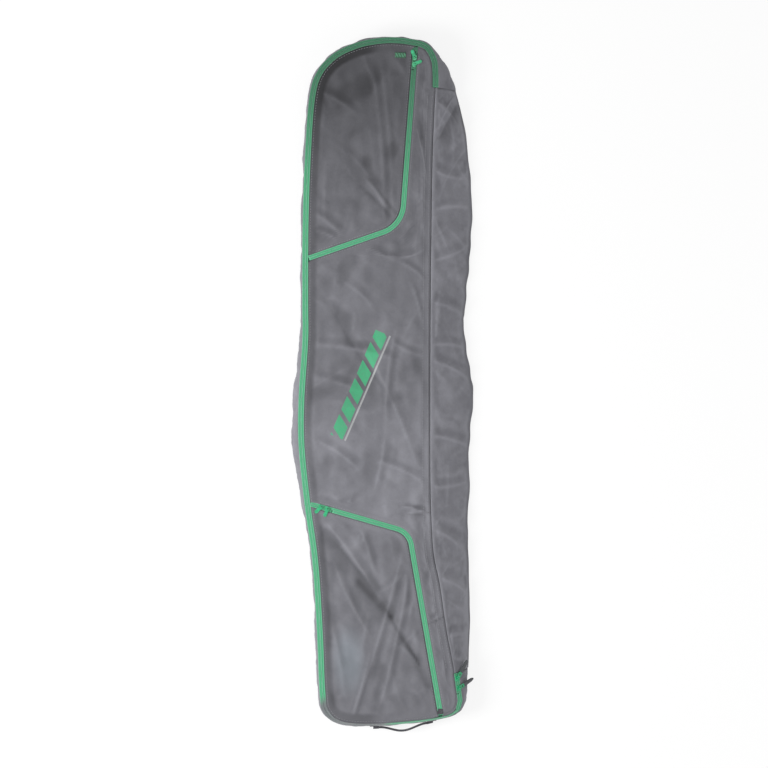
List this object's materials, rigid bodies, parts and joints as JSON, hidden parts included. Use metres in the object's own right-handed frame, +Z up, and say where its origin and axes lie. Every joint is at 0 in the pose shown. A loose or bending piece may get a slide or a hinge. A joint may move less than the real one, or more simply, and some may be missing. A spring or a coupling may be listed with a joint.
{
  "type": "snowboard bag",
  "caption": "Long padded soft bag with rounded ends, an edge zip that opens the whole lid, two corner pockets with bent zips, and a haul handle at the foot.",
  "frame": {"origin": "on the floor under the centre of the bag's overall box", "axes": "+Y to the nose end, +X to the plain gusset on which the lid folds back, +Z up off the floor the bag lies on"},
  "size_m": [0.4374, 1.6703, 0.0644],
  "materials": {
    "grey_polyester": "600-denier plain weave polyester, coated inside, creased and slightly faded",
    "foam": "closed-cell polyethylene foam sheet",
    "lining": "smooth coated nylon lining",
    "green_tape": "woven green zip tape, reversed coil",
    "green_coil": "green nylon zip coil",
    "green_enamel": "die-cast zinc with green enamel",
    "pull_rubber": "dark grey moulded rubber",
    "webbing": "dark grey woven webbing",
    "label": "small green woven label"
  },
  "bodies": {
    "base": {"back_panel": "grey_polyester", "back_padding": "foam", "back_lining": "lining", "zip_gusset": "grey_polyester", "plain_gusset": "grey_polyester", "main_zip_tape_base": "green_tape", "main_zip_coil_base": "green_coil", "main_zip_stops": "green_enamel", "handle_anchors": "webbing"},
    "lid": {"lid_panel": "grey_polyester", "lid_padding": "foam", "lid_upper_padding": "foam", "lid_lining": "lining", "main_zip_tape_lid": "green_tape", "main_zip_coil_lid": "green_coil", "upper_pocket_panel": "grey_polyester", "upper_pocket_backing": "lining", "upper_zip_tape_fixed": "green_tape", "upper_zip_coil_fixed": "green_coil", "upper_zip_stops": "green_enamel", "lower_pocket_panel": "grey_polyester", "lower_pocket_backing": "lining", "lower_zip_tape_fixed": "green_tape", "lower_zip_coil_fixed": "green_coil", "lower_zip_stops": "green_enamel", "lower_zip_tab": "webbing", "woven_label": "label"},
    "upper_flap": {"upper_pocket_flap": "grey_polyester", "upper_zip_tape_flap": "green_tape", "upper_zip_coil_flap": "green_coil"},
    "lower_flap": {"lower_pocket_flap": "grey_polyester", "lower_zip_tape_flap": "green_tape", "lower_zip_coil_flap": "green_coil"},
    "main_slider_a": {"main_slider_a": "green_enamel"},
    "main_slider_b": {"main_slider_b": "green_enamel"},
    "upper_slider_a": {"upper_slider_a": "green_enamel"},
    "upper_slider_b": {"upper_slider_b": "green_enamel"},
    "lower_slider_a": {"lower_slider_a": "green_enamel"},
    "lower_slider_b": {"lower_slider_b": "green_enamel"},
    "main_pull_a": {"main_link_a": "green_enamel", "main_tab_a": "pull_rubber"},
    "main_pull_b": {"main_link_b": "green_enamel", "main_tab_b": "pull_rubber"},
    "upper_pull_a": {"upper_pull_a": "green_enamel"},
    "upper_pull_b": {"upper_pull_b": "green_enamel"},
    "lower_pull_a": {"lower_pull_a": "green_enamel"},
    "lower_pull_b": {"lower_pull_b": "green_enamel"},
    "handle": {"haul_handle": "webbing"}
  },
  "joints": [
    {"name": "lid_open", "type": "hinge", "parent": "base", "child": "lid", "pos_m": [0.1265, 0.713, 0.0582], "axis": [-0.0391, 0.9992, 0], "range_deg": [0, 170]},
    {"name": "upper_pocket_open", "type": "hinge", "parent": "lid", "child": "upper_flap", "pos_m": [0.07114, 0.75611, 0.0582], "axis": [-0.4671, -0.8842, 0], "range_deg": [0, 120]},
    {"name": "lower_pocket_open", "type": "hinge", "parent": "lid", "child": "lower_flap", "pos_m": [-0.12347, -0.29646, 0.0582], "axis": [0.4762, -0.8793, 0], "range_deg": [0, 120]},
    {"name": "main_slider_a_slide", "type": "slide", "parent": "base", "child": "main_slider_a", "axis": [0.1351, -0.9908, 0], "range_m": [0, 0.008]},
    {"name": "main_slider_b_slide", "type": "slide", "parent": "base", "child": "main_slider_b", "axis": [0.1351, -0.9908, 0], "range_m": [0, 0.02]},
    {"name": "upper_slider_a_slide", "type": "slide", "parent": "lid", "child": "upper_slider_a", "axis": [-0.0752, -0.9972, 0], "range_m": [0, 0.0035]},
    {"name": "upper_slider_b_slide", "type": "slide", "parent": "lid", "child": "upper_slider_b", "axis": [-0.0752, -0.9972, 0], "range_m": [0, 0.33]},
    {"name": "lower_slider_a_slide", "type": "slide", "parent": "lid", "child": "lower_slider_a", "axis": [0.9614, -0.2753, 0], "range_m": [0, 0.0035]},
    {"name": "lower_slider_b_slide", "type": "slide", "parent": "lid", "child": "lower_slider_b", "axis": [0.9614, -0.2753, 0], "range_m": [0, 0.165]},
    {"name": "main_pull_a_swing", "type": "hinge", "parent": "main_slider_a", "child": "main_pull_a", "pos_m": [0.17679, -0.6986, 0.05698], "axis": [0.6959, -0.5804, -0.4228], "range_deg": [0, 160]},
    {"name": "main_pull_b_swing", "type": "hinge", "parent": "main_slider_b", "child": "main_pull_b", "pos_m": [0.17989, -0.72139, 0.05698], "axis": [0.3545, -0.9218, -0.1568], "range_deg": [0, 160]},
    {"name": "upper_pull_a_swing", "type": "hinge", "parent": "upper_slider_a", "child": "upper_pull_a", "pos_m": [0.07325, 0.78403, 0.0616], "axis": [0.9355, 0.3533, 0], "range_deg": [0, 110]},
    {"name": "upper_pull_b_swing", "type": "hinge", "parent": "upper_slider_b", "child": "upper_pull_b", "pos_m": [0.07204, 0.76807, 0.0616], "axis": [0.4334, -0.9012, 0], "range_deg": [0, 160]},
    {"name": "lower_pull_a_swing", "type": "hinge", "parent": "lower_slider_a", "child": "lower_pull_a", "pos_m": [-0.15039, -0.28875, 0.0616], "axis": [-0.6949, 0.7191, 0], "range_deg": [0, 150]},
    {"name": "lower_pull_b_swing", "type": "hinge", "parent": "lower_slider_b", "child": "lower_pull_b", "pos_m": [-0.135, -0.29316, 0.0616], "axis": [-0.9273, 0.3743, 0], "range_deg": [0, 150]},
    {"name": "haul_handle_swing", "type": "hinge", "parent": "base", "child": "handle", "pos_m": [-0.012, -0.82191, 0.0205], "axis": [-0.996, -0.0894, 0], "range_deg": [0, 80]}
  ]
}
